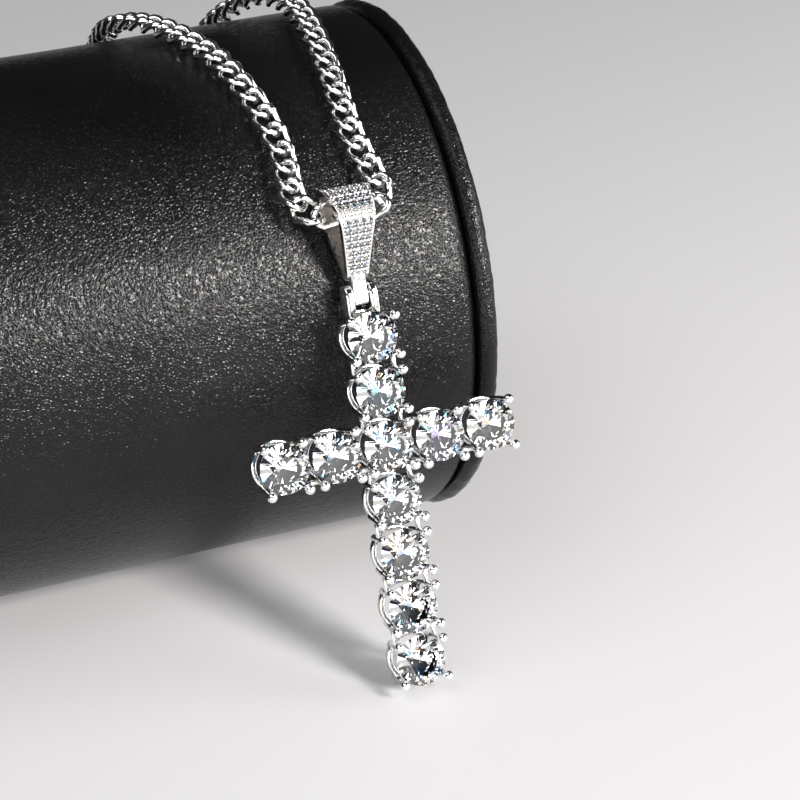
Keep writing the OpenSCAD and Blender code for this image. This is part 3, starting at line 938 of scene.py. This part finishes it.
# %% [markdown]
# The route is drawn as if the chain lay on a flat sheet, which is then laid over the roll,
# down behind it and out along the ground. Each point says how far it lies across from the
# cross and along the sheet from the bail. Where the bail holds the chain, a third number
# lifts it off the sheet. The same few points are in the solid model, the bail's hinge says
# where the sheet starts, and a smooth curve drawn near the points gives the links' line.

# %% The chain's route
# Columns: across in mm, along in mm, and the share of the bail's lift
route = [
    (-19.5, 226.5, 0), (-33, 221.5, 0), (-44, 210, 0), (-50, 194, 0), (-50, 174, 0),
    (-46, 154, 0), (-40, 134, 0), (-36, 119, 0), (-35, 113, 0), (-34, 109, 0),
    (-32.4, 105, 0), (-28.6, 97, 0), (-23, 86, 0), (-15.4, 70, 0), (-12.8, 60, 0),
    (-12.6, 54, 0), (-13, 48, 0.2), (-12.6, 42, 0.3), (-10.6, 36, 0.2), (-8.5, 30, 0),
    (-6.9, 24, 0), (-5.7, 18, 0), (-4.7, 13, 0), (-4.4, 9, 0), (-4.8, 6, 0.2),
    (-5.3, 3, 0.5), (-4.7, 0.8, 0.85), (-3.2, 0, 1), (-1.6, 0, 1), (0, 0, 1),
    (1.6, 0, 1), (3.2, 0, 1), (4.6, 0.8, 0.85), (5.1, 3, 0.45), (4.6, 6, 0.15),
    (4.2, 9, 0), (4.3, 13, 0), (4.8, 18, 0), (5.4, 24, 0), (6.2, 30, 0.1),
    (6.6, 36, 0.3), (5, 42, 0.5), (3, 48, 0.3), (1.5, 57, 0), (1.5, 70, 0),
    (3, 86, 0), (4.6, 97, 0), (5.8, 105, 0), (6.6, 109, 0), (7.5, 113, 0),
    (9, 119, 0), (14, 134, 0), (19, 154, 0), (22, 174, 0), (20.5, 194, 0),
    (13, 210, 0), (1, 221.5, 0), (-12, 226.5, 0),
]
print("points of the route:", len(route))

# %% The sheet under the chain
# All in mm, as the route is. The middle of the chain lies at lie_r from the roll's axis
axis_z = 31.1
lie_r = 32.65
ground_z = 0.9
bend_r = 6
hang = joint_place["bail_swing"] / MM - Vector((0, 0, axis_z))
hang_angle = math.atan2(hang.z, hang.y)
hang_lift = math.hypot(hang.y, hang.z) - lie_r
over_l = lie_r * hang_angle
down_l = axis_z - ground_z - bend_r
bend_l = bend_r * math.pi / 2
print("hang in degrees:", round(math.degrees(hang_angle), 2), "lift in mm:", round(hang_lift, 3))


def sheet(along):
    """A point on the sheet that the chain lies on, and its outward direction."""
    if along < over_l:
        angle = hang_angle - along / lie_r
        out = Vector((0, math.cos(angle), math.sin(angle)))
        return Vector((0, 0, axis_z)) + out * lie_r, out
    along -= over_l
    if along < down_l:
        return Vector((0, lie_r, axis_z - along)), Vector((0, 1, 0))
    along -= down_l
    if along < bend_l:
        angle = along / bend_r
        out = Vector((0, math.cos(angle), math.sin(angle)))
        return Vector((0, lie_r + bend_r, ground_z + bend_r)) - out * bend_r, out
    return Vector((0, lie_r + bend_r + along - bend_l, ground_z)), Vector((0, 0, 1))


# %% The line of the links


def smooth_point(a, b, c, d, t):
    """A point of a cubic spline that runs near four knots, at a share of its stretch."""
    return (
        a * (1 - t) ** 3
        + b * (3 * t**3 - 6 * t**2 + 4)
        + c * (-3 * t**3 + 3 * t**2 + 3 * t + 1)
        + d * t**3
    ) / 6


knots = [Vector(p) for p in route]
knots = [2 * knots[0] - knots[1]] + knots + [2 * knots[-1] - knots[-2]]
stretch_steps = 40
line, outward = [], []
for i in range(len(route) - 1):
    for j in range(stretch_steps):
        p = smooth_point(*knots[i : i + 4], j / stretch_steps)
        base, out = sheet(p.y)
        line.append((base + out * p.z * hang_lift + Vector((hang.x + p.x, 0, 0))) * MM)
        outward.append(out)
run = [0]
for near, far in zip(line, line[1:]):
    run.append(run[-1] + (far - near).length)
print("chain line in mm:", round(run[-1] / MM, 1))

# %% A place at a length along the line


def at_length(s):
    """The place and outward direction at a length along the chain."""
    low_i, high_i = 0, len(run) - 1
    while high_i - low_i > 1:
        middle = (low_i + high_i) // 2
        if run[middle] <= s:
            low_i = middle
        else:
            high_i = middle
    share = (s - run[low_i]) / (run[high_i] - run[low_i])
    return line[low_i].lerp(line[high_i], share), outward[low_i].lerp(outward[high_i], share)


# %% Link after link
link_pitch = 2.6 * MM
first = 1.2 * MM
count = round((run[-1] - 2 * first) / link_pitch) + 1
step = (run[-1] - 2 * first) / (count - 1)
links = []
for i in range(count):
    s = first + i * step
    middle, out = at_length(s)
    ahead = (at_length(s + step / 2)[0] - at_length(s - step / 2)[0]).normalized()
    wide = out.cross(ahead).normalized()
    thin = ahead.cross(wide)
    place = Matrix.Translation(middle) @ Matrix((ahead, wide, thin)).transposed().to_4x4()
    links.append(placed_copy(link, place))
    lowest = min(corner.co.z for corner in links[-1].data.vertices)
    if lowest < 0:
        links[-1].data.transform(Matrix.Translation((0, 0, -lowest)))
discard(link)
chain_links = joined("chain_links", links, silver)
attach(chain_links, "roll_and_chain")
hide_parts("chain")
print("links:", count, "pitch in mm:", round(step / MM, 3), "faces:", len(chain_links.data.polygons))

# %% [markdown]
# ## The clasp
#
# The clasp lies out of sight behind the roll, so it is a plain one: a turned barrel with a
# small ring at each end for the last link, on the ground where the loop closes.

# %% Barrel of the clasp
ends = (line[0] + line[-1]) / 2
barrel_r = 1.0 * MM
barrel_half = 2.3 * MM
# Shares of the barrel's half length and of its radius, from one end to the middle groove
barrel_shape = [(1, 0), (1, 0.55), (0.86, 0.9), (0.72, 1), (0.1, 1), (0.06, 0.92)]
barrel_line = [(-barrel_half * length, 0, barrel_r * radius) for length, radius in barrel_shape]
barrel_line += [(-x, y, z) for x, y, z in reversed(barrel_line)]
barrel = turned("clasp_barrel", barrel_line, steps=28, axis=(1, 0, 0))
smooth(barrel, degrees=40)
print("barrel faces:", len(barrel.data.polygons))

# %% Rings of the clasp
ring_r = 1.0 * MM
ring_wire_r = 0.24 * MM
ring_stretch = 1.25
ring_out = 3.1 * MM
ring_turn = math.radians(-30)
clasp_pieces = [barrel]
for side in (-1, 1):
    bpy.ops.object.select_all(action="DESELECT")
    bpy.ops.mesh.primitive_torus_add(
        major_segments=20, minor_segments=8, major_radius=ring_r, minor_radius=ring_wire_r
    )
    ring = bpy.context.object
    bpy.ops.object.mode_set(mode="EDIT")
    bpy.ops.transform.resize(value=(ring_stretch, 1, 1))
    bpy.ops.object.mode_set(mode="OBJECT")
    bpy.ops.object.shade_smooth()
    in_line = Matrix.Rotation(ring_turn * side, 4, "X")
    ring.data.transform(Matrix.Translation((side * ring_out, 0, 0)) @ in_line)
    clasp_pieces.append(ring)
clasp = joined("clasp", clasp_pieces, silver)
clasp.data.transform(Matrix.Translation((ends.x, ends.y, barrel_r)))
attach(clasp, "roll_and_chain")
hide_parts("chain_clasp")
print("clasp faces:", len(clasp.data.polygons))

# %% [markdown]
# ## The display roll
#
# The stand is a padded roll covered in black leather. Its cover is one sheet round a
# cylinder, a little uneven where the padding pushes, and at each end it turns in to a
# groove beside a gathered rim. The cover is turned as a line about the roll's axis, and
# then pushed in and out by slow noise, as padding would push it. Its underside is flat
# where it stands.

# %% Roll
roll_r = 31.5 * MM
roll_half = 57.5 * MM
roll_axis = Vector((0, 0, axis_z)) * MM
turn_in = 1.6 * MM
turn_steps = 6
flat_steps = 60

board_r = roll_r - turn_in * 2.4
cover_line = [(-roll_half, 0, 0), (-roll_half, 0, roll_r * 0.5), (-roll_half, 0, board_r)]
for i in range(turn_steps + 1):
    angle = math.pi / 2 * i / turn_steps
    x = -roll_half + turn_in * (1 - math.cos(angle))
    cover_line.append((x, 0, roll_r - turn_in * (1 - math.sin(angle))))
mirror_half = [(-x, y, z) for x, y, z in reversed(cover_line)]
straight = roll_half - turn_in
middle_part = [(-straight + 2 * straight * i / flat_steps, 0, roll_r) for i in range(1, flat_steps)]
cover_line = cover_line + middle_part + mirror_half
cover = turned("roll_cover", cover_line, steps=160, axis=(1, 0, 0))
smooth(cover, degrees=60)
cover.data.transform(Matrix.Translation(roll_axis))
print("cover faces:", len(cover.data.polygons))

# %% Padding pushes the cover
# Waves to a metre and their height in mm, for the broad swells and the small ones
broad_waves, broad_h = 45, 0.10
small_waves, small_h = 160, 0.035
sink = 0.1
for v in cover.data.vertices:
    out = Vector((0, v.co.y, v.co.z - roll_axis.z))
    if out.length > roll_r * 0.9:
        push = noise.noise(v.co * broad_waves) * broad_h + noise.noise(v.co * small_waves) * small_h
        v.co += out.normalized() * (push - sink) * MM
    v.co.z = max(v.co.z, 0)
cover.data.materials.append(leather)
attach(cover, "roll_and_chain")
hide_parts("display_roll")
print("points on the flat underside:", sum(v.co.z == 0 for v in cover.data.vertices))

# %% [markdown]
# Each end has a rim of leather gathered round a soft core and drawn over the end board.
# The gathers are many small creases across the rim. They are made in the mesh: the rim is
# turned from a rounded outline with many steps, and each point moves in or out by noise
# that changes quickly round the rim and slowly across it.

# %% End rims
rim_half_w = 1.2 * MM
rim_r = 31.9 * MM
rim_out = 58.8 * MM
lip_r = 1.05 * MM
lip_steps = 8
board_x = rim_half_w * 0.35
inner_x = -rim_half_w * 0.9
board_drop = 4.2 * MM
step_drop = 3.0 * MM
neck_drop = 1.9 * MM

rim_outline = [(board_x, 0, 0), (board_x, 0, rim_r * 0.6), (board_x, 0, rim_r - board_drop)]
rim_outline += [(rim_half_w * 0.5, 0, rim_r - step_drop), (rim_half_w * 0.85, 0, rim_r - neck_drop)]
for i in range(lip_steps + 1):
    angle = math.radians(-15 + 210 * i / lip_steps)
    out_r = rim_r - lip_r + lip_r * math.sin(angle)
    rim_outline.append((rim_half_w * math.cos(angle), 0, out_r))
rim_outline += [(inner_x, 0, rim_r - neck_drop), (inner_x, 0, 0)]
print("points of the rim's outline:", len(rim_outline))

# %% Gather the rims
crease_zone = 4 * MM
crease_fade = 2 * MM
crease_depth = 0.28 * MM
crease_sink = 0.4
creases_round = 26
finer_creases = 2.3


def gathered(piece):
    """Pushes the rim in and out by noise that changes fast round it and slowly across it."""
    for v in piece.data.vertices:
        x, y, z = v.co
        r = math.hypot(y, z)
        if r > rim_r - crease_zone:
            angle = math.atan2(z, y)
            near = Vector((math.cos(angle), math.sin(angle), 0)) * creases_round
            crease = noise.noise(near + Vector((0, 0, x / MM * 0.5))) * 0.5
            crease += noise.noise(near * finer_creases + Vector((0, 0, x / MM))) * 0.3
            size = crease_depth * min(1, (r - rim_r + crease_zone) / crease_fade)
            v.co.y += math.cos(angle) * (crease - crease_sink) * size
            v.co.z += math.sin(angle) * (crease - crease_sink) * size
            v.co.x += crease * size * 0.3


# %% The two rims


def end_rim(name, hand):
    """The rim of one end: hand is -1 for the left one, which is mirrored, and 1 for the right."""
    piece = turned(name, rim_outline, steps=300, axis=(1, 0, 0))
    smooth(piece, degrees=75)
    gathered(piece)
    if hand < 0:
        for v in piece.data.vertices:
            v.co.x = -v.co.x
    piece.data.transform(Matrix.Translation((hand * rim_out, 0, roll_axis.z)))
    if hand < 0:
        piece.data.flip_normals()
    for v in piece.data.vertices:
        v.co.z = max(v.co.z, 0)
    piece.data.materials.append(rim_leather)
    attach(piece, "roll_and_chain")
    return piece


left_rim = end_rim("roll_rim_left", -1)
right_rim = end_rim("roll_rim_right", 1)
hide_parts("roll_cap_left")
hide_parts("roll_cap_right")
print("rim faces:", len(right_rim.data.polygons))
